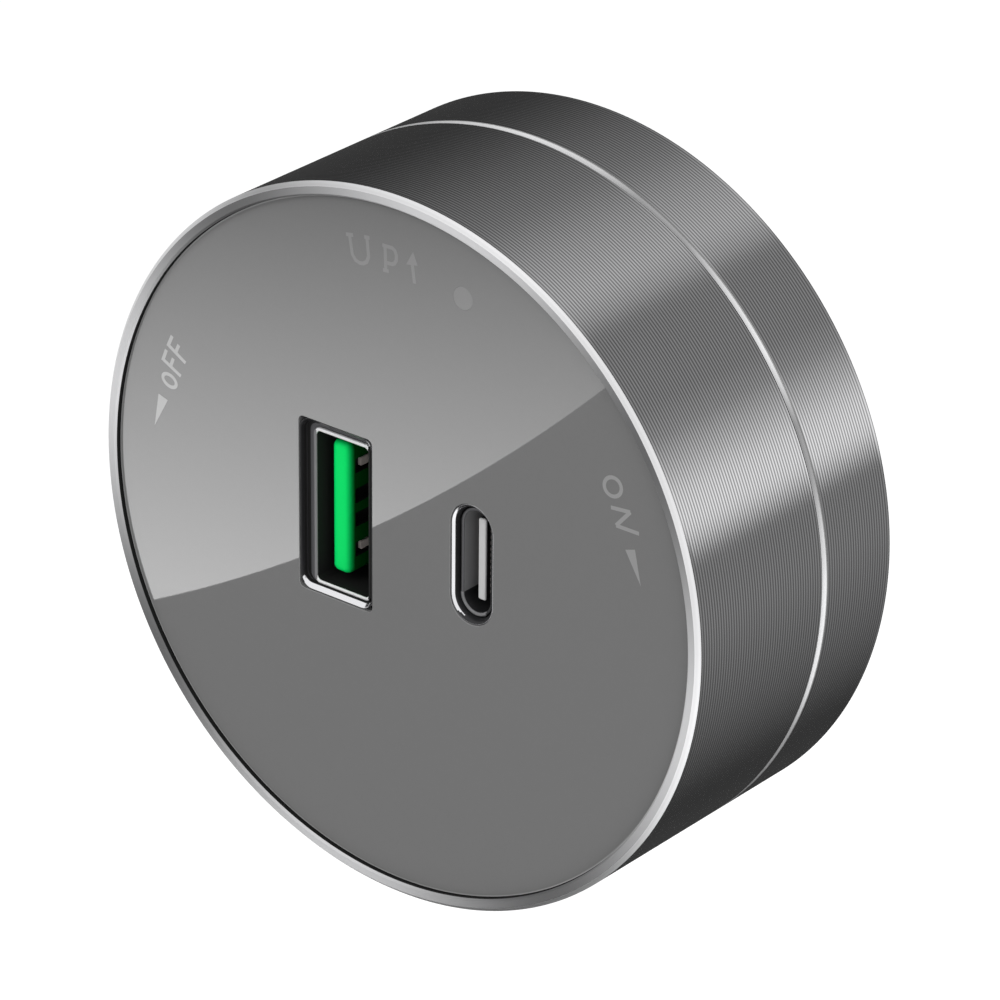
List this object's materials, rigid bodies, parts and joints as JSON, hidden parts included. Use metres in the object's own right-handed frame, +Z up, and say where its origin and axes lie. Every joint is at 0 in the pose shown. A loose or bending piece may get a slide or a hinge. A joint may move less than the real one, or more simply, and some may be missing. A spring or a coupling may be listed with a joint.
{
  "type": "power track usb adapter",
  "caption": "Round turning track adapter with a USB-A and a USB-C socket in its glossy face, two turned aluminium rings and a crosshead plug that locks into a power track.",
  "frame": {"origin": "centre of the base's flat seat on the track", "axes": "+Y back into the track along the turning axis, +Z up, the face looks along -Y"},
  "size_m": [0.058, 0.036, 0.058],
  "materials": {
    "turned_aluminium": "grey anodised, finely turned",
    "black_plastic": "fine moulded texture",
    "face_lacquer": "polished grey lacquer",
    "adhesive_film": "double sided film",
    "socket_steel": "nickel plated",
    "green_plastic": "moulded",
    "grey_plastic": "moulded",
    "contact_plating": "gold flash",
    "contact_brass": "brushed",
    "spring_steel": "phosphated spring steel",
    "screw_steel": "zinc plated",
    "milky_plastic": "diffusing",
    "board_green": "solder mask",
    "package_black": "moulded epoxy",
    "capacitor_sleeve": "shrunk sleeve",
    "capacitor_can": "bare can",
    "resistor_coat": "flame proof coat",
    "capacitor_blue": "dipped epoxy",
    "ferrite": "sintered",
    "winding_tape": "polyester tape"
  },
  "bodies": {
    "base": {"base_plate": "black_plastic", "rear_ring": "turned_aluminium"},
    "knob": {"front_ring": "turned_aluminium", "knob_cup": "black_plastic", "rear_cover": "black_plastic", "rotor_hub": "black_plastic", "contact_head": "black_plastic", "head_cap": "black_plastic", "face_plate": "face_lacquer", "plate_adhesive": "adhesive_film", "usb_a_shell": "socket_steel", "usb_c_shell": "socket_steel", "usb_c_trim": "socket_steel", "usb_a_tongue": "green_plastic", "usb_c_tongue": "grey_plastic", "usb_a_contacts": "contact_plating", "usb_c_contacts": "contact_plating", "live_contact": "contact_brass", "neutral_contact": "contact_brass", "retaining_ring": "spring_steel", "detent_spring": "spring_steel", "cover_screws": "screw_steel", "hub_screws": "screw_steel", "foot_screws": "screw_steel", "head_screw": "screw_steel", "led_light_pipe": "milky_plastic", "status_led": "milky_plastic", "main_board": "board_green", "bridge_rectifier": "package_black", "controller_chip": "package_black", "input_capacitor": "capacitor_sleeve", "filter_capacitor": "capacitor_sleeve", "output_capacitors": "capacitor_can", "fuse_resistor": "resistor_coat", "safety_capacitor": "capacitor_blue", "line_choke": "ferrite", "transformer_core": "ferrite", "transformer_bobbin": "winding_tape"},
    "detent": {"detent_plunger": "spring_steel"}
  },
  "joints": [
    {"name": "knob_turn", "type": "hinge", "parent": "base", "child": "knob", "pos_m": [0, 0, 0], "axis": [0, 1, 0], "range_deg": [-90, 0]},
    {"name": "detent_slide", "type": "slide", "parent": "knob", "child": "detent", "axis": [0, 0, -1], "range_m": [0, 0.0006], "stiffness_N_per_m": 800, "deforming": ["detent_spring"]}
  ]
}
